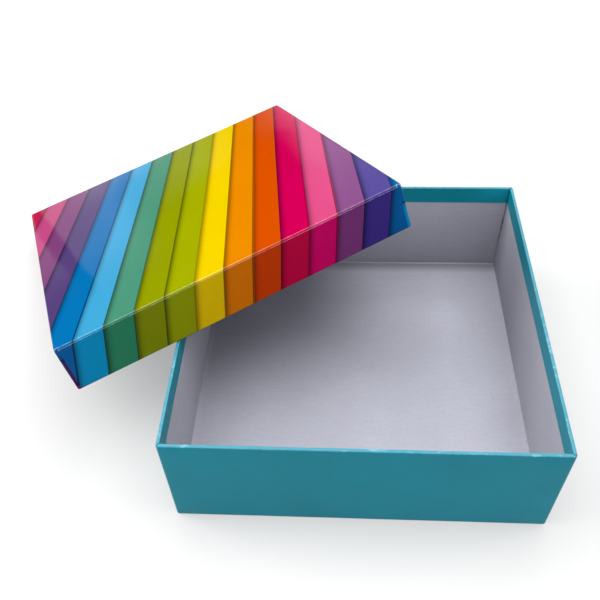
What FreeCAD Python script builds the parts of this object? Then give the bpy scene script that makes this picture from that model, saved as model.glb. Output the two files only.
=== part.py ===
"""Rigid gift box: a square tray and a shallow lid, both of greyboard covered with glued paper.

Frame: millimetres, +Z up, +Y away from the front, +X to the right. The origin is the centre of the
tray's underside. The lid is off: it lies over the tray's back left corner, on the left rim, on the
back rim and on its own far corner.
"""
import FreeCAD, Part
import math
import os

DIMENSIONS = [
    ("tray_length", 200.0, "tray, outside, left to right"),
    ("tray_width", 200.0, "tray, outside, front to back"),
    ("tray_height", 70.0, "tray, outside, up to the rim"),
    ("lid_depth", 28.0, "lid, outside, from its top down to its lower edge"),
    ("lid_clearance", 0.5, "between tray and skirt on each side when the box is closed"),
    ("board_thickness", 1.5, "greyboard"),
    ("paper_thickness", 0.15, "covering paper"),
    ("tape_thickness", 0.12, "corner stays, pressed flush into the board"),
    ("turn_in", 12.0, "paper turned over the rim, down the inside"),
    ("corner_radius", 1.5, "upright corners, outside"),
    ("inner_corner_radius", 0.4, "upright corners, inside"),
    ("foot_radius", 0.8, "folded edge between floor and wall, outside"),
    ("rim_radius", 0.8, "rim, outer and inner edge"),
    ("joint_slit", 0.2, "hairline joint between the folded walls at each corner"),
    ("stay_leg", 18.0, "corner stay, reach along each wall"),
    ("stay_margin", 4.0, "corner stay, short of the wall's height at each end"),
    ("lap_inset", 2.3, "edge of the front and back paper, in from the corner"),
    ("lap_reach", 12.0, "corner flap of the side paper under the front and back paper"),
    ("front_reach", 145.5, "lid at rest: its front lower edge, from the near corner to the left rim"),
    ("side_reach", 76.5, "lid at rest: its right lower edge, from the near corner to the back rim"),
    ("rest_gap", 0.1, "lid at rest: over the rims and the table"),
    ("crown_gap", 0.1, "lid at rest: tray's corner to the inside of the lid's top"),
]
TOUCH = 0.001           # mm, how near to a level an edge counts as lying in it
RIM_LIMIT = 0.48        # of the wall, the most that either edge of the rim is rounded
SIDES = [("front", 0, -1), ("right", 1, 0), ("back", 0, 1), ("left", -1, 0)]
CORNERS = [
    ("front_left", -1, -1),
    ("front_right", 1, -1),
    ("back_right", 1, 1),
    ("back_left", -1, 1),
]
PAPER = "sizes.paper_thickness"
BOARD = "sizes.board_thickness"

doc = FreeCAD.newDocument("GiftBox")
sizes = doc.addObject("Spreadsheet::Sheet", "sizes")


def fill_sheet():
    """One row for each driving dimension: its name, its number and what it measures."""
    for row, (alias, number, meaning) in enumerate(DIMENSIONS, start=1):
        sizes.set("A%d" % row, alias)
        sizes.set("B%d" % row, str(number))
        sizes.set("C%d" % row, meaning)
        sizes.setAlias("B%d" % row, alias)
    doc.recompute()


def mm(expression):
    """The value in millimetres of an expression in the sheet's names."""
    return float(sizes.evalExpression(expression))


def block(name, length, width, height, x="0", y="0", z="0"):
    """Box bound to expressions, centred on x and y, with its underside at z."""
    box = doc.addObject("Part::Box", name)
    box.setExpression("Length", length)
    box.setExpression("Width", width)
    box.setExpression("Height", height)
    box.setExpression(".Placement.Base.x", "%s - (%s) / 2" % (x, length))
    box.setExpression(".Placement.Base.y", "%s - (%s) / 2" % (y, width))
    box.setExpression(".Placement.Base.z", z)
    return box


def upright(edge):
    box = edge.BoundBox
    return box.XLength < TOUCH and box.YLength < TOUCH


def at_level(level):
    return lambda edge: abs(edge.BoundBox.ZMin - level) < TOUCH and abs(edge.BoundBox.ZMax - level) < TOUCH


def rounded(name, base, *rounds):
    """Round the edges of base: each round is a test that picks edges, and a radius."""
    doc.recompute()
    fillet = doc.addObject("Part::Fillet", name)
    fillet.Base = base
    fillet.Edges = [(number, radius, radius) for picks, radius in rounds
                    for number, edge in enumerate(base.Shape.Edges, start=1) if picks(edge)]
    return fillet


def cut(name, base, tool):
    result = doc.addObject("Part::Cut", name)
    result.Base = base
    result.Tool = tool
    return result


def fused(name, parts):
    result = doc.addObject("Part::MultiFuse", name)
    result.Shapes = parts
    result.Refine = True
    return result


def open_box(name, length, width, height, skin, wall, floor):
    """Open box that stands 'skin' inside the paper's outer face, with rounded corners, foot and rim."""
    outside = block(name + "_block", "%s - 2 * (%s)" % (length, skin), "%s - 2 * (%s)" % (width, skin),
                    "%s - 2 * (%s)" % (height, skin), z=skin)
    outside = rounded(name + "_outside", outside, (upright, mm("sizes.corner_radius - (%s)" % skin)),
                      (at_level(mm(skin)), mm("sizes.foot_radius - (%s)" % skin)))
    inset = "2 * (%s + %s)" % (skin, wall)
    floor_level = "%s + %s" % (skin, floor)
    room = block(name + "_room", "%s - %s" % (length, inset), "%s - %s" % (width, inset), height,
                 z=floor_level)
    room = rounded(name + "_inside", room, (upright, mm("sizes.inner_corner_radius + %s" % skin)))
    shell = cut(name + "_shell", outside, room)
    rim = min(mm("sizes.rim_radius - (%s)" % skin), RIM_LIMIT * mm(wall))
    return rounded(name, shell, (at_level(mm("%s - (%s)" % (height, skin))), rim))


def tape_ring(name, length, width, height):
    """Layer of tape all round the board's outside, from which the corner stays are taken."""
    layers = []
    for layer, depth in (("outer", PAPER), ("inner", "(%s + sizes.tape_thickness)" % PAPER)):
        prism = block("%s_%s_block" % (name, layer), "%s - 2 * %s" % (length, depth),
                      "%s - 2 * %s" % (width, depth), "%s - 2 * sizes.stay_margin" % height,
                      z="sizes.stay_margin")
        corner = mm("sizes.corner_radius - %s" % depth)
        layers.append(rounded("%s_%s" % (name, layer), prism, (upright, corner)))
    return cut(name, *layers)


def corner_reaches(kind, length, width, height, turned):
    """Blocks that hold one corner each, by the corner's name on the box as it stands for use."""
    reach = "2 * (sizes.stay_leg + %s)" % PAPER
    return {corner: block("%s_reach_%s" % (kind, corner), reach, reach, height,
                          x="%d * %s / 2" % (x, length), y="%d * %s / 2" % (y * turned, width))
            for corner, x, y in CORNERS}


def common(name, base, tool):
    result = doc.addObject("Part::Common", name)
    result.Base = base
    result.Tool = tool
    return result


def board_panels(kind, board, level, length, width, height, turned):
    """The board's five panels, split at the score lines. The side walls run from corner to corner, and
    the front and back walls fit between them with a hairline joint at each end."""
    covered = "(%s + %s)" % (BOARD, PAPER)
    between = "(%s - 2 * %s - 2 * sizes.joint_slit)" % (length, covered)
    panels = [("%s_board_%s" % (kind, level),
               block(kind + "_%s_reach" % level, length, width, covered))]
    for side, x, y in SIDES:
        across = length if x else width
        reach = block("%s_%s_reach" % (kind, side), covered if x else between, covered if y else width,
                      height, x="%d * (%s - %s) / 2" % (x, across, covered),
                      y="%d * (%s - %s) / 2" % (y * turned, across, covered), z=covered)
        panels.append(("%s_board_%s" % (kind, side), reach))
    return [common(name, board, reach) for name, reach in panels]


def paper_laps(kind, length, width, height):
    """Front and back paper where it lies doubled over the side paper's corner flaps."""
    span = "(sizes.lap_reach - sizes.lap_inset)"
    along = "(%s / 2 - sizes.lap_inset - %s / 2)" % (length, span)
    return [block("%s_lap_%s" % (kind, corner), span, "2 * %s" % PAPER,
                  "%s - sizes.foot_radius - sizes.rim_radius" % height,
                  x="%d * %s" % (x, along), y="%d * %s / 2" % (y, width), z="sizes.foot_radius")
            for corner, x, y in CORNERS]


def covered_box(kind, level, length, width, height, turned=1):
    """Board panels, paper and corner stays of one open box. The lid is made the same way, upside down."""
    covered = "(%s + %s)" % (BOARD, PAPER)
    plain = open_box(kind + "_plain", length, width, height, PAPER, BOARD, BOARD)
    cover = open_box(kind + "_cover", length, width, height, "0", "(%s + 2 * %s)" % (BOARD, PAPER), covered)
    skin = cut(kind + "_skin", cover, plain)
    bare = block(kind + "_bare_inside", "%s - 2 * %s" % (length, covered), "%s - 2 * %s" % (width, covered),
                 "%s - sizes.turn_in - %s" % (height, covered), z=covered)
    sheet = cut(kind + "_sheet", skin, bare)
    wrap = fused(kind + "_wrap", [sheet] + paper_laps(kind, length, width, height))
    tape = tape_ring(kind + "_tape", length, width, height)
    reaches = corner_reaches(kind, length, width, height, turned)
    stays = [common("%s_corner_stay_%s" % (kind, corner), tape, reach) for corner, reach in reaches.items()]
    seats = common(kind + "_seats", tape, fused(kind + "_corners", list(reaches.values())))
    panels = board_panels(kind, cut(kind + "_seated", plain, seats), level, length, width, height, turned)
    return panels + [wrap] + stays


def lid_at_rest(length, width):
    """Where the lid lies. Its front edge is on the left rim, its right edge on the back rim and its
    far corner on the table. It is turned until the tray's corner just clears the inside of its top."""
    wall = mm("%s + 2 * %s" % (BOARD, PAPER))
    crown = mm("%s + %s" % (BOARD, PAPER))
    depth, gap = mm("sizes.lid_depth"), mm("sizes.rest_gap")
    front, side = mm("sizes.front_reach"), mm("sizes.side_reach")
    on_left_rim = FreeCAD.Vector(length / 2 - wall - front, wall - width / 2, -depth)
    on_table = FreeCAD.Vector(-length / 2, width / 2, -depth)
    span = math.hypot(front, side)
    bearing = math.atan2(side, front)
    arm = on_table - on_left_rim
    tilt = math.asin(mm("sizes.tray_height") * span / (front * arm.y - side * arm.x))
    reach_in = (depth - crown - mm("sizes.crown_gap") + gap * math.cos(tilt)) / math.sin(tilt)
    together = math.sqrt(span * span + 2 * span * reach_in)
    apart = math.sqrt(max(0.0, span * span - 2 * span * reach_in))
    along_back, along_left = (together - apart) / 2, (together + apart) / 2
    rim_point = FreeCAD.Vector(-mm("sizes.tray_length") / 2, mm("sizes.tray_width") / 2 - along_left,
                               mm("sizes.tray_height") + gap)

    def turn(x, y, z, angle):
        rotation = FreeCAD.Rotation(FreeCAD.Vector(x, y, z), math.degrees(angle))
        return FreeCAD.Placement(FreeCAD.Vector(), rotation)

    facing = math.atan2(along_left, along_back)
    lean = turn(0, 0, 1, facing) * turn(1, 0, 0, -tilt) * turn(0, 0, 1, -bearing)
    return (FreeCAD.Placement(rim_point, FreeCAD.Rotation()) * lean
            * FreeCAD.Placement(-on_left_rim, FreeCAD.Rotation()) * turn(1, 0, 0, math.pi))


def check(objects, nodes):
    """Stop if anything failed to build, or if a node is not one sound solid."""
    for item in objects:
        if {"Invalid", "Error"} & set(item.State):
            raise RuntimeError("%s did not build: %s" % (item.Name, item.State))
    for node in nodes:
        shape = node.Shape
        if shape.isNull() or not shape.isValid() or len(shape.Solids) != 1:
            raise RuntimeError("%s is not one sound solid" % node.Label)


def main():
    fill_sheet()
    tray = covered_box("base", "floor", "sizes.tray_length", "sizes.tray_width", "sizes.tray_height")
    lid_length, lid_width = ("(sizes.%s + 2 * (sizes.lid_clearance + %s + 2 * %s))" % (side, BOARD, PAPER)
                             for side in ("tray_length", "tray_width"))
    lid = covered_box("lid", "top", lid_length, lid_width, "sizes.lid_depth", turned=-1)
    doc.recompute()
    rest = lid_at_rest(mm(lid_length), mm(lid_width))
    for node in lid:
        node.Placement = rest
    doc.recompute()
    check(doc.Objects, tray + lid)
    os.makedirs("parts", exist_ok=True)
    for node in tray + lid:
        node.Shape.exportStep("parts/%s.step" % node.Label)
        print("%-32s %9.1f mm3" % (node.Label, node.Shape.Volume))


main()
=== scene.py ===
import math

import bmesh
import bpy
from mathutils import Matrix, Vector


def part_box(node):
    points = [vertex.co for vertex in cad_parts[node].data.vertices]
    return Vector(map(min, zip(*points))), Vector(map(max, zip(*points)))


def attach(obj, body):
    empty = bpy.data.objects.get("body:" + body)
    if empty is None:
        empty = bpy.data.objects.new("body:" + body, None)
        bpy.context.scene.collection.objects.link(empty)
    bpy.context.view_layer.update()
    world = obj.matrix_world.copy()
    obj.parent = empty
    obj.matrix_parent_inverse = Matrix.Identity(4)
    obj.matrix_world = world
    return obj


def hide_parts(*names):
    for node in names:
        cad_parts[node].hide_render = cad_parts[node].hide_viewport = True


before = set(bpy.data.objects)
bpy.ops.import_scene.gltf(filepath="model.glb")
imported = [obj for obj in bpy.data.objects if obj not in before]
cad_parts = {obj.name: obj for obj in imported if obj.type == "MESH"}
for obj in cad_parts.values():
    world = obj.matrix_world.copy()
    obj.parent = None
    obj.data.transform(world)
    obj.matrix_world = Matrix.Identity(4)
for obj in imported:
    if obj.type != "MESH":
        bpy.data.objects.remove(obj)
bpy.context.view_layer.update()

MM = 0.001
TINY = 0.001 * MM

# What the box is made of
PAPER = 0.15 * MM
BOARD = 1.5 * MM
WALL = BOARD + 2 * PAPER
TURN_IN = 12 * MM
SLACK = 0.04 * MM              # between the board and the back of its paper
CORNER_RADIUS = 1.5 * MM
INNER_CORNER_RADIUS = 0.4 * MM
FOLD_RADIUS = 0.8 * MM
RIM_RADIUS = 0.75 * MM
LAP_INSET = 2.3 * MM           # edge of the front and back paper, in from the corner
LAP_REACH = 12 * MM            # end of the corner flap below it
LAP_RISE = 0.12 * MM
LAP_EDGE = 0.06 * MM
LAP_FADE = 2.0 * MM
INNER_LAP = 18 * MM            # end of the side paper's turn-in, over the back paper's
GROOVE = 0.3 * MM              # the board's bare edges in the corner joints, rounded
RAGGED = 0.4 * MM              # the most that a corner joint opens
# the floor along the wall feet, falling from the score's lip: each step's reach and its rise
BEADS = [(1.2 * MM, 0.0), (0.4 * MM, -0.24 * MM), (2.4 * MM, -0.08 * MM), (6.0 * MM, -0.08 * MM),
         (24.0 * MM, 0.0)]
BEAD_STEPS = [sum(reach for reach, _ in BEADS[:i]) for i in range(len(BEADS) + 1)]
# painted shade on the floor at each of those steps from the front and back walls; below nought it
# is painted light
SCORE_SHADES = (0.3, 0.0, 0.6, 0.45, -0.25, 0.0)
SMOOTH_ANGLE = math.radians(38)  # edges that turn more than this stay sharp


# --- Modelling by hand -------------------------------------------------------------------------

def to_object_mode():
    if bpy.context.mode != "OBJECT":
        bpy.ops.object.mode_set(mode="OBJECT")


def only(piece):
    """Select this piece alone and make it the active one."""
    to_object_mode()
    bpy.ops.object.select_all(action="DESELECT")
    piece.select_set(True)
    bpy.context.view_layer.objects.active = piece


def add_block(name, low, high):
    """A box from its lowest to its highest corner, open for editing."""
    to_object_mode()
    bpy.ops.object.select_all(action="DESELECT")
    low, high = Vector(low), Vector(high)
    bpy.ops.mesh.primitive_cube_add(size=1, location=(low + high) / 2)
    piece = bpy.context.object
    piece.name = piece.data.name = name
    piece.scale = high - low
    bpy.ops.object.transform_apply(location=True, rotation=True, scale=True)
    bpy.ops.object.mode_set(mode="EDIT")
    return piece


def pick(kind, test):
    """In edit mode, select the faces, edges or points that pass the test, and nothing else."""
    mesh = bpy.context.object.data
    bpy.ops.mesh.select_mode(type=kind)
    bpy.ops.mesh.select_all(action="DESELECT")
    form = bmesh.from_edit_mesh(mesh)
    form.normal_update()
    parts = {"FACE": form.faces, "EDGE": form.edges, "VERT": form.verts}[kind]
    for part in parts:
        if test(part):
            part.select_set(True)
    bmesh.update_edit_mesh(mesh)


def near(value, target, margin=TINY):
    return abs(value - target) < margin


def upright_edge(edge):
    a, b = (v.co for v in edge.verts)
    return near(a.x, b.x) and near(a.y, b.y)


def edge_at_corner(half_x, half_y):
    """Test for the upright edges at the four corners of an outline."""
    def test(edge):
        a = edge.verts[0].co
        return upright_edge(edge) and near(abs(a.x), half_x) and near(abs(a.y), half_y)
    return test


def fold_at(level):
    """Test for the edges in a level plane where a level face meets an upright one."""
    def test(edge):
        if not all(near(v.co.z, level) for v in edge.verts) or len(edge.link_faces) != 2:
            return False
        return sorted(abs(f.normal.z) > 0.7 for f in edge.link_faces) == [False, True]
    return test


def soften(radius, steps):
    bpy.ops.mesh.bevel(offset=radius, segments=steps, profile=0.5, affect="EDGES",
                       clamp_overlap=False)


def slice_all(axis, places):
    """Cut the whole piece across an axis at each place."""
    normal = [float(i == axis) for i in range(3)]
    for place in places:
        bpy.ops.mesh.select_mode(type="FACE")
        bpy.ops.mesh.select_all(action="SELECT")
        bpy.ops.mesh.bisect(plane_co=[place * n for n in normal], plane_no=normal)


def shift(move):
    bpy.ops.transform.translate(value=move)


def apply_all(piece):
    only(piece)
    for modifier in list(piece.modifiers):
        bpy.ops.object.modifier_apply(modifier=modifier.name)


def ripple(piece, name, size, strength):
    """Slight unevenness of hand-glued paper."""
    texture = bpy.data.textures.new(name, "CLOUDS")
    texture.noise_scale = size
    texture.noise_depth = 1
    modifier = piece.modifiers.new(name, "DISPLACE")
    modifier.texture = texture
    modifier.texture_coords = "LOCAL"
    modifier.mid_level = 0.5
    modifier.strength = strength


def stand_flat(piece):
    """Press the underside flat again."""
    only(piece)
    bpy.ops.object.mode_set(mode="EDIT")
    pick("VERT", lambda v: v.co.z < 0.2 * MM)
    bpy.ops.transform.resize(value=(1, 1, 0), center_override=(0, 0, 0))
    to_object_mode()


def finish_shading(piece):
    only(piece)
    bpy.ops.object.shade_smooth_by_angle(angle=SMOOTH_ANGLE)


def place_turned_over(piece, place):
    """Turn a piece that was modelled with its opening up onto its opening, and put it in place."""
    only(piece)
    piece.matrix_world = place @ Matrix.Rotation(math.pi, 4, "X")
    bpy.ops.object.transform_apply(location=True, rotation=True, scale=True)


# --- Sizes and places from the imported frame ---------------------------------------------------

def tray_sizes():
    """The tray's half length and half width under the laps, and its height."""
    _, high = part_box("base_wrap")
    _, board_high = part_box("base_board_floor")
    return high.x, board_high.y + PAPER, high.z


def lid_place():
    """The lid's place at rest, as a matrix from its upright frame: origin at the centre of its top,
    x along its front edge and y from its front to its back. Also its half length, half width and
    depth."""
    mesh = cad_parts["lid_board_top"].data
    mesh.calc_loop_triangles()
    faces = [(t.normal.copy(), t.area) for t in mesh.loop_triangles]

    def facing(wanted, square_to=None):
        options = [(area, n) for n, area in faces if wanted(n)
                   and (square_to is None or abs(n.dot(square_to)) < 0.01)]
        largest = max(options, key=lambda option: option[0])[1]
        total = Vector()
        for area, n in options:
            if n.dot(largest) > 0.9999:
                total += n * area
        return total.normalized()

    up = facing(lambda n: n.z > 0.8)
    across = facing(lambda n: n.x > 0.7 and abs(n.dot(up)) < 0.01, up)
    across = (across - up * across.dot(up)).normalized()
    back = up.cross(across)
    turn = Matrix((across, back, up))
    lows, highs = [], []
    for axis, node in ((0, "lid_board_top"), (1, "lid_board_top"), (2, "lid_wrap")):
        values = [(turn @ v.co)[axis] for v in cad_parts[node].data.vertices]
        lows.append(min(values))
        highs.append(max(values))
    centre = turn.transposed() @ Vector(
        ((lows[0] + highs[0]) / 2, (lows[1] + highs[1]) / 2, highs[2]))
    place = Matrix.Translation(centre) @ turn.transposed().to_4x4()
    return (place, (highs[0] - lows[0]) / 2 + PAPER, (highs[1] - lows[1]) / 2 + PAPER,
            highs[2] - lows[2])


# --- The pieces -------------------------------------------------------------------------------

def paper_cover(name, half_x, half_y, height):
    """The sheet round the outside, over the rim and down the inside, with its opening up."""
    cover = add_block(name, (-half_x, -half_y, 0), (half_x, half_y, height))
    pick("FACE", lambda f: f.normal.z > 0.9)
    bpy.ops.mesh.inset(thickness=WALL)
    bpy.ops.mesh.extrude_region_move(TRANSFORM_OT_translate={"value": (0, 0, -TURN_IN)})
    bpy.ops.mesh.delete(type="FACE")
    pick("EDGE", edge_at_corner(half_x, half_y))
    soften(CORNER_RADIUS, 5)
    pick("EDGE", edge_at_corner(half_x - WALL, half_y - WALL))
    soften(INNER_CORNER_RADIUS, 2)
    pick("EDGE", fold_at(0))
    soften(FOLD_RADIUS, 4)
    pick("EDGE", fold_at(height))
    soften(RIM_RADIUS, 4)
    # cut into columns and rows that can ripple, with a cut at each edge of the laps
    columns, rows = 28, 6
    support = 0.3 * MM
    held = [CORNER_RADIUS + support, LAP_INSET, LAP_INSET + LAP_EDGE,
            LAP_REACH, LAP_REACH + LAP_FADE, INNER_LAP, INNER_LAP + LAP_EDGE]
    lap_foot, lap_head = FOLD_RADIUS + support, height - RIM_RADIUS - support
    for axis, half in ((0, half_x), (1, half_y)):
        edges = [half - inset for inset in (held if axis == 0 else held[:1])]
        span = 2 * (half - LAP_REACH - LAP_FADE) if axis == 0 else 2 * (half - held[0])
        evenly = [span * (i / columns - 0.5) for i in range(1, columns)]
        slice_all(axis, evenly + edges + [-e for e in edges])
    slice_all(2, [lap_foot, lap_head]
              + [lap_foot + (lap_head - lap_foot) * i / rows for i in range(1, rows)])
    # raise the front and back paper outside, and the side paper inside, where each lies over a flap
    for side in (-1, 1):
        pick("VERT", lambda v: near(v.co.y, side * half_y)
             and half_x - LAP_REACH - TINY < abs(v.co.x) < half_x - LAP_INSET - LAP_EDGE + TINY
             and lap_foot - TINY < v.co.z < lap_head + TINY)
        shift((0, side * LAP_RISE, 0))
        pick("VERT", lambda v: near(v.co.y, side * (half_y - WALL)) and v.co.z < lap_head + TINY
             and half_x - INNER_LAP - TINY < abs(v.co.x)
             < half_x - WALL - INNER_CORNER_RADIUS + TINY)
        shift((0, -side * LAP_RISE, 0))
    to_object_mode()
    return cover


def along_sheet(across, z, half, height, inside):
    """How far a place is from the middle of the sheet, along the paper: out to the fold and round
    it, up the wall, over the rim and down the inside."""
    flat = half - FOLD_RADIUS
    if z < FOLD_RADIUS:
        turned = math.atan2(max(0.0, across - flat), FOLD_RADIUS - z)
        return min(across, flat) + FOLD_RADIUS * turned
    foot = flat + FOLD_RADIUS * math.pi / 2 - FOLD_RADIUS
    over = max(0.0, min(half - across, WALL))
    return foot + (2 * height - z + WALL if inside else z + (over if z > height - WALL else 0.0))


def unfold(cover, half_x, half_y, height, sheet):
    """Lay the sheet out flat as its UV map: the top in the middle, and each skirt folded out from
    its edge. The side skirts go round the corners, as far as the front and back paper's edge."""
    mesh = cover.data
    layer = mesh.uv_layers.new(name="sheet")
    for face in mesh.polygons:
        middle = face.center
        in_x, in_y = half_x - abs(middle.x), half_y - abs(middle.y)
        flat = middle.z < TINY * 5
        on_side = in_x < in_y or in_x < LAP_INSET
        inside = min(in_x, in_y) > WALL / 2 and middle.z > WALL
        for corner in face.loop_indices:
            x, y, z = mesh.vertices[mesh.loops[corner].vertex_index].co
            if flat:
                u, v = x, y
            elif on_side and in_x < in_y:
                u, v = math.copysign(along_sheet(abs(x), z, half_x, height, inside), middle.x), y
            elif on_side:
                u = math.copysign(along_sheet(half_x, z, half_x, height, inside), middle.x)
                v = math.copysign(half_y + half_x - abs(x), middle.y)
            else:
                u, v = x, math.copysign(along_sheet(abs(y), z, half_y, height, inside), middle.y)
            layer.data[corner].uv = (u / sheet + 0.5, -v / sheet + 0.5)


def give_thickness(cover):
    modifier = cover.modifiers.new("paper", "SOLIDIFY")
    modifier.thickness = PAPER
    modifier.offset = -1
    apply_all(cover)


def folded_board(name, half_x, half_y, height):
    """The greyboard blank folded up: its walls meet in ragged hairline joints at the corners, and
    the score raises a lip along the foot of each wall."""
    skin = PAPER + SLACK
    face = PAPER + BOARD
    board = add_block(name, (-half_x + skin, -half_y + skin, skin),
                      (half_x - skin, half_y - skin, height - skin))
    pick("FACE", lambda f: f.normal.z > 0.9)
    bpy.ops.mesh.inset(thickness=face - skin)
    foot = face - sum(rise for _, rise in BEADS)
    hollow = (0, 0, foot - (height - skin))
    bpy.ops.mesh.extrude_region_move(TRANSFORM_OT_translate={"value": hollow})
    for reach, rise in BEADS:
        bpy.ops.mesh.inset(thickness=reach, depth=rise)
    pick("EDGE", edge_at_corner(half_x - skin, half_y - skin))
    soften(CORNER_RADIUS - skin, 4)
    pick("EDGE", fold_at(skin))
    soften(FOLD_RADIUS - skin, 3)
    pick("EDGE", fold_at(height - skin))
    soften(RIM_RADIUS - skin, 3)
    # each corner's inner edge is drawn out between the walls, as their joint
    corners = [(x, y) for x in (-1, 1) for y in (-1, 1)]
    pick("EDGE", edge_at_corner(half_x - face, half_y - face))
    soften(GROOVE, 2)
    for x, y in corners:
        pick("VERT", lambda v: near(v.co.x, x * (half_x - face), GROOVE * 0.8)
             and near(v.co.y, y * (half_y - face), GROOVE * 0.8) and v.co.z > foot - TINY)
        shift((x * BOARD / 2, y * BOARD / 2, 0))
    top = height - TURN_IN
    levels = [foot + 1.0 * MM] + [foot + (top - foot) * i / 10 for i in range(1, 10)]
    slice_all(2, levels)
    beside_joint = face + 2 * GROOVE + 0.5 * MM
    slice_all(0, [side * (half_x - beside_joint) for side in (-1, 1)])
    insets = [beside_joint] + [face + step for step in BEAD_STEPS[1:]]
    slice_all(1, [side * (half_y - inset) for side in (-1, 1) for inset in insets])
    for i, level in enumerate(levels):
        for x, y in corners:
            # uneven from level to level and from corner to corner
            opening = RAGGED * max(0.0, math.sin(2.3 * i + 1.7 * x + 0.9 * y)) ** 2
            pick("VERT", lambda v: near(v.co.z, level) and near(v.co.y, y * (half_y - face))
                 and near(v.co.x, x * (half_x - face - GROOVE)))
            shift((-x * opening, 0, 0))
    to_object_mode()
    mark_shade(board, half_x - face, half_y - face, foot, 2 * GROOVE + 0.45 * MM)
    return board


def mark_shade(board, wall_x, wall_y, foot, joint):
    """Record where the board is darker: in the corner joints, and with painted shade on the floor
    beside the front and back walls, which turns to painted light a little farther out."""
    joints = board.data.attributes.new("joint", "FLOAT", "POINT")
    painted_shades = board.data.attributes.new("score", "FLOAT", "POINT")
    for point in board.data.vertices:
        in_x, in_y = wall_x - abs(point.co.x), wall_y - abs(point.co.y)
        if max(in_x, in_y) < joint and point.co.z > foot - TINY:
            joints.data[point.index].value = 1.0
        # painted shade along the feet of the front and back walls, and painted light farther out
        elif PAPER + BOARD - TINY < point.co.z < foot + TINY and in_y > -TINY:
            painted_shades.data[point.index].value = next(
                (shade for step, shade in zip(BEAD_STEPS, SCORE_SHADES) if in_y < step + TINY), 0.0)


half_x, half_y, tray_height = tray_sizes()
lid_matrix, lid_half_x, lid_half_y, lid_depth = lid_place()
SHEET = 0.3                    # the side of the square that the lid's sheet is laid out on
RIPPLE_SIZE = 0.035            # from one swell of the paper to the next

tray_cover = paper_cover("tray_cover", half_x, half_y, tray_height)
ripple(tray_cover, "tray_ripple", RIPPLE_SIZE, 0.12 * MM)
apply_all(tray_cover)
stand_flat(tray_cover)
give_thickness(tray_cover)
finish_shading(tray_cover)

tray_board = folded_board("tray_board", half_x, half_y, tray_height)
finish_shading(tray_board)

lid_cover = paper_cover("lid_cover", lid_half_x, lid_half_y, lid_depth)
unfold(lid_cover, lid_half_x, lid_half_y, lid_depth, SHEET)
ripple(lid_cover, "lid_ripple", RIPPLE_SIZE, 0.16 * MM)
apply_all(lid_cover)
give_thickness(lid_cover)
finish_shading(lid_cover)
place_turned_over(lid_cover, lid_matrix)

lid_board = folded_board("lid_board", lid_half_x, lid_half_y, lid_depth)
finish_shading(lid_board)
place_turned_over(lid_board, lid_matrix)


# --- Materials --------------------------------------------------------------------------------

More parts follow.
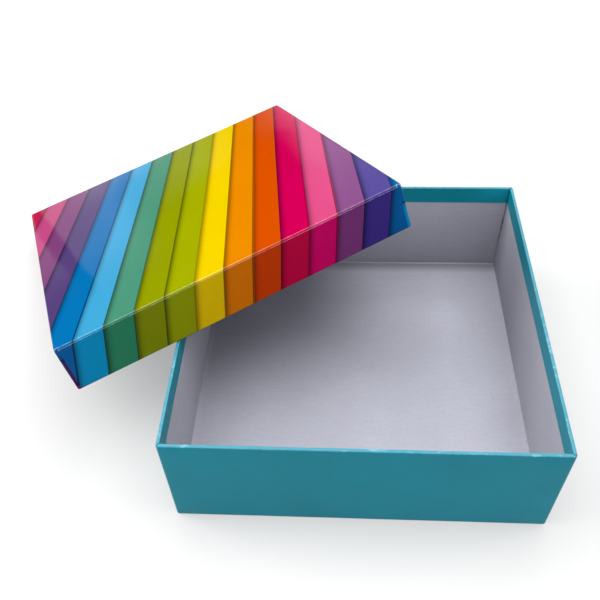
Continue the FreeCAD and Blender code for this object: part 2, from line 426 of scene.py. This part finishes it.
class Finish:
    """A material with its nodes, laid out from left to right."""

    def __init__(self, name, roughness, specular):
        self.material = bpy.data.materials.new(name)
        self.material.use_nodes = True
        self.tree = self.material.node_tree
        self.shader = self.tree.nodes["Principled BSDF"]
        self.shader.inputs["Roughness"].default_value = roughness
        self.shader.inputs["Specular IOR Level"].default_value = specular

    def node(self, kind, **settings):
        made = self.tree.nodes.new(kind)
        for key, value in settings.items():
            setattr(made, key, value)
        return made

    def link(self, source, target):
        self.tree.links.new(source, target)

    def place(self):
        """Where the surface is, from the piece's own coordinates."""
        return self.node("ShaderNodeTexCoord").outputs["Object"]

    def math(self, operation, *values):
        made = self.node("ShaderNodeMath", operation=operation)
        for socket, value in zip(made.inputs, values):
            if isinstance(value, (int, float)):
                socket.default_value = value
            else:
                self.link(value, socket)
        return made.outputs[0]

    def noise(self, place, scale, detail=2.0, roughness=0.5):
        made = self.node("ShaderNodeTexNoise")
        made.inputs["Scale"].default_value = scale
        made.inputs["Detail"].default_value = detail
        made.inputs["Roughness"].default_value = roughness
        self.link(place, made.inputs["Vector"])
        return made.outputs["Fac"]

    def spread(self, value, low, high, to_low=0.0, to_high=1.0, smooth=False):
        kind = "SMOOTHSTEP" if smooth else "LINEAR"
        made = self.node("ShaderNodeMapRange", interpolation_type=kind)
        for name, number in (("From Min", low), ("From Max", high),
                             ("To Min", to_low), ("To Max", to_high)):
            made.inputs[name].default_value = number
        self.link(value, made.inputs["Value"])
        return made.outputs["Result"]

    def ramp(self, value, stops, interpolation="LINEAR"):
        made = self.node("ShaderNodeValToRGB")
        ramp = made.color_ramp
        ramp.interpolation = interpolation
        while len(ramp.elements) < len(stops):
            ramp.elements.new(1.0)
        for element, (position, colour) in zip(ramp.elements, stops):
            element.position = position
            element.color = (*colour, 1.0)
        self.link(value, made.inputs["Fac"])
        return made.outputs["Color"]

    def mix(self, kind, amount, first, second):
        made = self.node("ShaderNodeMix", data_type="RGBA", blend_type=kind)
        sockets = (made.inputs[0], made.inputs[6], made.inputs[7])
        for socket, value in zip(sockets, (amount, first, second)):
            if isinstance(value, (int, float)):
                socket.default_value = value
            elif isinstance(value, tuple):
                socket.default_value = (*value, 1.0)
            else:
                self.link(value, socket)
        return made.outputs[2]

    def colour(self, value):
        self.link(value, self.shader.inputs["Base Color"])

    def rough(self, value):
        self.link(value, self.shader.inputs["Roughness"])

    def attribute(self, name):
        return self.node("ShaderNodeAttribute", attribute_name=name).outputs["Fac"]

    def parts(self, vector):
        made = self.node("ShaderNodeSeparateXYZ")
        self.link(vector, made.inputs["Vector"])
        return made.outputs["X"], made.outputs["Y"], made.outputs["Z"]

    def stretched(self, place, x, y, z):
        """Coordinates drawn out, for a grain that runs one way."""
        made = self.node("ShaderNodeMapping")
        made.inputs["Scale"].default_value = (x, y, z)
        self.link(place, made.inputs["Vector"])
        return made.outputs["Vector"]

    def toned(self, colour, amount):
        """The colour made lighter or darker by an amount that is 1 where it stays."""
        grey = self.node("ShaderNodeCombineColor")
        for name in ("Red", "Green", "Blue"):
            self.link(amount, grey.inputs[name])
        return self.mix("MULTIPLY", 1.0, colour, grey.outputs["Color"])

    def bump(self, height, strength, distance, after=None):
        made = self.node("ShaderNodeBump")
        made.inputs["Strength"].default_value = strength
        made.inputs["Distance"].default_value = distance
        self.link(height, made.inputs["Height"])
        if after is not None:
            self.link(after, made.inputs["Normal"])
        self.link(made.outputs["Normal"], self.shader.inputs["Normal"])
        return made.outputs["Normal"]


def rgb(red, green, blue):
    """A colour given in the usual 0 to 255 numbers, as light."""
    def light(value):
        value /= 255
        return value / 12.92 if value <= 0.04045 else ((value + 0.055) / 1.055) ** 2.4
    return light(red), light(green), light(blue)


def dress(piece, finish):
    piece.data.materials.clear()
    piece.data.materials.append(finish.material)


def turquoise_paper():
    """Turquoise covering paper with a satin laminate, pale along the rim and the outer corners:
    partly rubbed wear and partly painted sheen, with painted glints.
    """
    finish = Finish("turquoise_paper", 0.32, specular=0.06)
    place = finish.place()
    cloud = finish.noise(place, 22, 3.0)
    fibre = finish.noise(place, 1400, 3.0, 0.6)
    tone = finish.ramp(cloud, [(0.3, rgb(6, 103, 119)), (0.7, rgb(10, 110, 126))])
    tone = finish.toned(tone, finish.spread(fibre, 0.3, 0.7, 0.96, 1.04))

    x, y, z = finish.parts(place)
    across, along = finish.math("ABSOLUTE", x), finish.math("ABSOLUTE", y)
    off_corner = finish.math("ADD", finish.math("SUBTRACT", half_x, across),
                             finish.math("SUBTRACT", half_y, along))
    off_rim = finish.math("SUBTRACT", tray_height, z)
    edge = finish.math("MINIMUM", finish.math("ADD", off_corner, 0.5 * MM), off_rim)
    # pale along the rim and the outer corners: partly rubbed wear, partly painted sheen where the
    # rim catches the light
    patch = finish.noise(place, 240, 4.0, 0.7)
    rubbed_and_sheen = finish.spread(finish.math("MULTIPLY_ADD", patch, -1.6 * MM, edge),
                           -0.9 * MM, 0.2 * MM, 1.0, 0.0, smooth=True)
    beyond = finish.math("MAXIMUM", finish.math("SUBTRACT", across, half_x - WALL),
                         finish.math("SUBTRACT", along, half_y - WALL))
    off_fold = finish.math("ABSOLUTE", finish.math("SUBTRACT", beyond, WALL / 2))
    rubbed_and_sheen = finish.math("MULTIPLY", rubbed_and_sheen,
                         finish.spread(off_fold, 0.2 * WALL, 0.5 * WALL, 0.06, 0.12))
    # painted glints that break up the pale rim
    dash = finish.noise(finish.stretched(place, 0.4, 1.0, 1.0), 420, 2.0)
    painted_glint = finish.spread(dash, 0.6, 0.74, 1.0, 3.0)
    tone = finish.mix("MIX", finish.math("MULTIPLY", rubbed_and_sheen, painted_glint), tone, rgb(215, 240, 255))

    # the mitre where the paper is folded over the rim's corners, and its line down the inside
    off_mitre = finish.math("ABSOLUTE", finish.math("SUBTRACT", across, along))
    crease = finish.math("MULTIPLY",
                         finish.spread(off_mitre, 0.15 * MM, 0.6 * MM, 1.0, 0.0, smooth=True),
                         finish.spread(beyond, 0.6 * WALL, 0.9 * WALL, 1.0, 0.0))
    tone = finish.toned(tone, finish.spread(crease, 0.0, 1.0, 1.0, 0.5))
    finish.colour(tone)
    finish.rough(finish.spread(cloud, 0.3, 0.7, 0.28, 0.38))
    peel = finish.bump(finish.noise(place, 170, 2.0), 1.0, 0.012 * MM)
    grain = finish.bump(fibre, 0.12, 0.05 * MM, after=peel)
    finish.bump(finish.math("MULTIPLY", crease, -1.0), 1.0, 0.12 * MM, after=grain)
    return finish


STRIPES = [
    ("magenta", rgb(139, 0, 54)), ("pink", rgb(149, 51, 89)), ("purple", rgb(94, 53, 93)),
    ("indigo", rgb(59, 50, 103)), ("blue", rgb(4, 74, 121)), ("light blue", rgb(40, 111, 144)),
    ("green", rgb(48, 99, 79)), ("olive", rgb(97, 104, 0)), ("lime", rgb(108, 114, 0)),
    ("yellow", rgb(162, 139, 0)), ("orange", rgb(156, 91, 0)), ("dark orange", rgb(145, 51, 0)),
]
# some of the strips are darker and duller in the first run across the sheet, at its left end
FIRST_RUN = {"magenta": rgb(130, 18, 52), "pink": rgb(129, 46, 84), "purple": rgb(84, 40, 79),
             "indigo": rgb(55, 40, 80), "blue": rgb(2, 75, 121)}
# strips to a metre of the sheet, to the right and towards the front, and the count at its middle
STRIPS_RIGHT, STRIPS_FRONT, STRIPS_AT_MIDDLE = 58.365, 20.17, 8.332
# the soft shadow along each strip's edge: how far across the strip, and how light
STRIP_SHADE = [(0.0, 0.3), (0.04, 0.4), (0.1, 0.6), (0.17, 0.84), (0.24, 0.96), (0.33, 1.0)]
# the skirts are painted deeper and fuller than the top, as painted shade on the sides turned from
# the lamps
SKIRT_SHADE_GAMMA, SKIRT_SHADE_SATURATION, SKIRT_SHADE_GAIN = 1.18, 1.09, 1.09
CREASES_APART = 1.56 * MM      # the two pale lines along the front and back edges of the top, painted highlights on the fold


def striped_paper():
    """Printed paper with a gloss laminate: slanting strips of colour, each laid over the next."""
    finish = Finish("striped_paper", 0.05, specular=0.04)
    u, v, _ = finish.parts(finish.node("ShaderNodeUVMap", uv_map="sheet").outputs["UV"])
    # the sheet's middle is at one half of the map
    along = finish.math("MULTIPLY_ADD", u, STRIPS_RIGHT * SHEET,
                        STRIPS_AT_MIDDLE - STRIPS_RIGHT * SHEET / 2)
    count = finish.math("MULTIPLY_ADD", v, -STRIPS_FRONT * SHEET, STRIPS_FRONT * SHEET / 2)
    count = finish.math("ADD", along, count)
    inks = [FIRST_RUN.get(name, colour) for name, colour in STRIPES]
    inks += [colour for _, colour in STRIPES]
    turn = finish.math("FRACT", finish.math("MULTIPLY", count, 1 / len(inks)))
    print_colour = finish.ramp(
        turn, [(i / len(inks), ink) for i, ink in enumerate(inks)], "CONSTANT")
    shade = finish.ramp(
        finish.math("FRACT", count), [(at, (light,) * 3) for at, light in STRIP_SHADE])
    tone = finish.mix("MULTIPLY", 1.0, print_colour, shade)
    place = finish.place()
    ink = finish.noise(place, 1100, 2.0, 0.6)
    cloud = finish.noise(place, 20, 3.0)
    tone = finish.toned(tone, finish.math("MULTIPLY", finish.spread(ink, 0.3, 0.7, 0.97, 1.03),
                                          finish.spread(cloud, 0.3, 0.7, 0.97, 1.03)))

    # two pale lines along the fold over the front and back edges of the top: painted highlights,
    # partly laminate whitened in the crease
    reach_u = finish.math("ABSOLUTE", finish.math("MULTIPLY_ADD", u, SHEET, -SHEET / 2))
    reach_v = finish.math("ABSOLUTE", finish.math("MULTIPLY_ADD", v, SHEET, -SHEET / 2))
    past_fold = finish.math("MAXIMUM", finish.math("SUBTRACT", reach_u, lid_half_x - FOLD_RADIUS),
                            finish.math("SUBTRACT", reach_v, lid_half_y - FOLD_RADIUS))
    past_front = finish.math("SUBTRACT", reach_v, lid_half_y - FOLD_RADIUS)
    middle = FOLD_RADIUS * math.pi / 4
    off_middle = finish.math("ABSOLUTE", finish.math("SUBTRACT", past_front, middle))
    off_line = finish.math("ABSOLUTE", finish.math("SUBTRACT", off_middle, CREASES_APART / 2))
    short_of_corner = finish.spread(finish.math("SUBTRACT", reach_u, lid_half_x),
                                    -1.0 * MM, -0.4 * MM, 1.0, 0.0)
    line = finish.math("MULTIPLY",
                       finish.spread(off_line, 0.02 * MM, 0.15 * MM, 1.0, 0.0, smooth=True),
                       short_of_corner)
    highlight_wear = finish.spread(finish.noise(place, 400, 3.0, 0.7), 0.35, 0.65, 0.1, 0.5)
    worn_and_highlit = finish.math("MULTIPLY", line, highlight_wear)

    # painted shade: the skirts' colour is made deeper and fuller than the top's
    skirt = finish.spread(past_fold, 0.4 * MM, 1.2 * MM)
    shade_deeper = finish.node("ShaderNodeGamma")
    finish.link(tone, shade_deeper.inputs["Color"])
    finish.link(finish.spread(skirt, 0.0, 1.0, 1.0, SKIRT_SHADE_GAMMA), shade_deeper.inputs["Gamma"])
    shade_fuller = finish.node("ShaderNodeHueSaturation")
    finish.link(shade_deeper.outputs["Color"], shade_fuller.inputs["Color"])
    finish.link(finish.spread(skirt, 0.0, 1.0, 1.0, SKIRT_SHADE_SATURATION), shade_fuller.inputs["Saturation"])
    tone = finish.toned(shade_fuller.outputs["Color"], finish.spread(skirt, 0.0, 1.0, 1.0, SKIRT_SHADE_GAIN))

    # pale spots at the top's corners: painted glints, partly cracked laminate
    near_corner = finish.math("MINIMUM", finish.math("SUBTRACT", reach_u, lid_half_x - 3.5 * MM),
                              finish.math("SUBTRACT", reach_v, lid_half_y - 2.0 * MM))
    cracked_and_glints = finish.math("MULTIPLY", finish.spread(near_corner, 0.0, 1.0 * MM),
                          finish.spread(finish.noise(place, 900, 3.0, 0.7), 0.54, 0.62, 0.0, 0.8))
    by_fold = finish.spread(past_fold, 1.6 * MM, 2.2 * MM, 1.0, 0.0)
    worn_and_highlit = finish.math("MAXIMUM", worn_and_highlit, finish.math("MULTIPLY", cracked_and_glints, by_fold))
    finish.colour(finish.mix("MIX", worn_and_highlit, tone, (0.75, 0.75, 0.75)))
    finish.rough(finish.math("ADD", finish.spread(past_fold, -0.1 * MM, 0.1 * MM, 0.0, 0.4),
                             finish.spread(cloud, 0.3, 0.7, 0.03, 0.06)))
    peel = finish.bump(finish.noise(place, 150, 2.0), 1.0, 0.02 * MM)
    grain = finish.bump(ink, 0.05, 0.03 * MM, after=peel)
    finish.bump(line, 1.0, 0.05 * MM, after=grain)
    return finish


def greyboard():
    """Matt board with a pale grey lining: fibres that run one way, a few specks, dark corner
    joints, and painted shade along the feet of the front and back walls, with painted light a
    little farther out."""
    finish = Finish("greyboard", 0.85, specular=0.3)
    place = finish.place()
    cloud = finish.noise(place, 18, 4.0)
    fibre = finish.noise(finish.stretched(place, 0.16, 1.0, 1.0), 900, 4.0, 0.65)
    fluff = finish.noise(place, 500, 4.0, 0.7)
    speck = finish.noise(place, 330, 1.0)
    tone = finish.ramp(cloud, [(0.3, rgb(137, 137, 147)), (0.7, rgb(144, 144, 154))])
    grain = finish.math("MULTIPLY", finish.spread(fibre, 0.25, 0.75, 0.955, 1.04),
                        finish.spread(fluff, 0.3, 0.7, 0.96, 1.04))
    grain = finish.math("MULTIPLY", grain, finish.spread(speck, 0.17, 0.22, 0.84, 1.0))
    # the joints are rubbed grey in places, and close up towards the foot
    broken = finish.spread(finish.noise(place, 110, 3.0, 0.6), 0.38, 0.62, 0.15, 1.1)
    _, _, z = finish.parts(place)
    broken = finish.math("MULTIPLY", broken, finish.spread(z, 5 * MM, 36 * MM, -0.5, 1.0))
    # the joints are dark; the score attribute adds painted shade beside the front and back wall
    # feet and painted light farther out
    joint_and_painted_shade = finish.math("MULTIPLY_ADD",
                           finish.attribute("joint"), broken, finish.attribute("score"))
    joint_and_shade_tone = finish.spread(joint_and_painted_shade, -1.0, 1.0, 1.65, 0.35)
    finish.colour(finish.toned(tone, finish.math("MULTIPLY", grain, joint_and_shade_tone)))
    finish.bump(fluff, 0.3, 0.08 * MM, after=finish.bump(fibre, 0.35, 0.08 * MM))
    return finish


def stay_tape():
    """Buff paper tape."""
    finish = Finish("stay_tape", 0.7, specular=0.3)
    fibre = finish.noise(finish.place(), 700, 3.0, 0.6)
    finish.colour(finish.ramp(fibre, [(0.3, rgb(165, 143, 107)), (0.7, rgb(180, 160, 126))]))
    finish.bump(fibre, 0.2, 0.05 * MM)
    return finish


turquoise, striped, grey, tape = turquoise_paper(), striped_paper(), greyboard(), stay_tape()

PANELS = ("front", "right", "back", "left")
CORNERS = ("front_left", "front_right", "back_right", "back_left")
for piece, body, slot, finish, stood_for in (
        (tray_cover, "tray", "turquoise_paper", turquoise, ["base_wrap"]),
        (tray_board, "tray", "greyboard", grey, ["base_board_" + p for p in ("floor",) + PANELS]),
        (lid_cover, "lid", "striped_paper", striped, ["lid_wrap"]),
        (lid_board, "lid", "greyboard", grey, ["lid_board_" + p for p in ("top",) + PANELS])):
    dress(piece, finish)
    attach(piece, body)
    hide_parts(*stood_for)
for kind in ("base", "lid"):
    for corner in CORNERS:
        dress(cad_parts["%s_corner_stay_%s" % (kind, corner)], tape)


# --- Floor, light and camera ------------------------------------------------------------------

def add_plane(name, size, place, turn=(0, 0, 0)):
    to_object_mode()
    bpy.ops.object.select_all(action="DESELECT")
    bpy.ops.mesh.primitive_plane_add(size=size, location=place, rotation=turn)
    plane = bpy.context.object
    plane.name = name
    bpy.ops.object.transform_apply(location=True, rotation=True, scale=True)
    return plane


def glowing(name, roughness, pale):
    """A dull grey finish, as pale as given, that also gives white light."""
    finish = Finish(name, roughness, specular=0.0)
    finish.shader.inputs["Base Color"].default_value = (pale, pale, pale, 1.0)
    finish.shader.inputs["Emission Color"].default_value = (1.0, 1.0, 1.0, 1.0)
    return finish


floor = add_plane("floor", 12, (0, 0, 0))
floor_finish = glowing("pale_floor", 0.9, 0.3)
floor_finish.shader.inputs["Emission Strength"].default_value = 0.317
dress(floor, floor_finish)


def add_light(name, place, aim, size, size_y, power):
    lamp = bpy.data.lights.new(name, "AREA")
    lamp.shape = "RECTANGLE"
    lamp.size, lamp.size_y = size, size_y
    lamp.energy = power
    light = bpy.data.objects.new(name, lamp)
    bpy.context.scene.collection.objects.link(light)
    light.location = place
    light.rotation_euler = (Vector(aim) - Vector(place)).to_track_quat("-Z", "Y").to_euler()
    light.visible_camera = False


# where each lamp hangs and what it is aimed at, its length and width, and its power
LIGHTS = [
    ("overhead", (0.0, 0.2, 1.6), (0, 0.2, 0), 2.0, 2.0, 68.5),
    ("left", (-2.0, 0.2, 1.2), (0, 0, 0.05), 1.6, 1.6, 64),
    ("right", (2.0, 0.2, 1.2), (0, 0, 0.05), 1.6, 1.6, 31),
    ("front", (0.0, -2.4, 0.7), (0, 0, 0.1), 3.0, 1.0, 40),
]
for settings in LIGHTS:
    add_light(*settings)

# the glowing patches of the card behind: left and right edge and how soft each is, the height up to
# which the patch is full and where it ends, and its strength
GLOWS = [
    (-1.8, 0.25, -1.15, 0.15, 0.06, 0.2, 1.3),
    (-1.72, 0.15, -1.1, 0.15, 0.19, 0.37, 0.5),
    (-2.06, 0.012, -1.66, 0.12, 0.28, 0.62, 1.2),
    (-0.86, 0.1, -0.45, 0.05, 0.2, 0.38, 0.5),
    (-0.76, 0.07, -0.45, 0.05, 0.42, 0.76, 1.25),
    (-2.54, 0.05, -2.16, 0.02, 0.2, 0.5, 1.2),
]


def glow_card():
    """An upright card well behind the box, lit in soft patches, which only gloss shows."""
    card = add_plane("glow_card", 2, (-1.5, 2.8, 1.0), (math.pi / 2, 0, 0))
    finish = glowing("glow", 1.0, 0.0)
    x, _, z = finish.parts(finish.place())
    total = 0.0
    for left, left_soft, right, right_soft, full, end, strength in GLOWS:
        begun = finish.spread(x, left - left_soft, left + left_soft, smooth=True)
        ended = finish.spread(x, right - right_soft, right + right_soft, 1.0, 0.0, smooth=True)
        height = finish.spread(z, full, end, strength, 0.0, smooth=True)
        total = finish.math("MULTIPLY_ADD", finish.math("MULTIPLY", begun, ended), height, total)
    finish.link(total, finish.shader.inputs["Emission Strength"])
    dress(card, finish)
    for seen_by in ("camera", "diffuse", "transmission", "volume_scatter", "shadow"):
        setattr(card, "visible_" + seen_by, False)


glow_card()

# the backdrop beyond the floor, which lights nothing
world = bpy.context.scene.world or bpy.data.worlds.new("studio")
bpy.context.scene.world = world
world.use_nodes = True
backdrop = world.node_tree.nodes["Background"]
backdrop.inputs["Color"].default_value = (0.35, 0.35, 0.35, 1.0)
backdrop.inputs["Strength"].default_value = 1.0
for ray in ("diffuse", "glossy", "transmission", "scatter"):
    setattr(world.cycles_visibility, ray, False)

# the camera, held above the front edge: its place, where it looks and where its right side points
CAMERA_PLACE = (-0.01276, -0.27962, 0.37099)
CAMERA_AHEAD = (-0.05291, 0.67571, -0.73526)
CAMERA_RIGHT = (0.99851, 0.04586, -0.0297)
FOCAL_LENGTH = 43.363          # mm, on a sensor 36 mm wide

lens = bpy.data.cameras.new("camera")
lens.sensor_width = 36.0
lens.lens = FOCAL_LENGTH
lens.clip_start = 0.01
camera = bpy.data.objects.new("camera", lens)
bpy.context.scene.collection.objects.link(camera)
ahead = Vector(CAMERA_AHEAD).normalized()
right = Vector(CAMERA_RIGHT)
right = (right - ahead * right.dot(ahead)).normalized()
camera.matrix_world = (Matrix.Translation(CAMERA_PLACE)
                       @ Matrix((right, right.cross(ahead), -ahead)).transposed().to_4x4())
bpy.context.scene.camera = camera
bpy.context.scene.view_settings.view_transform = "Standard"
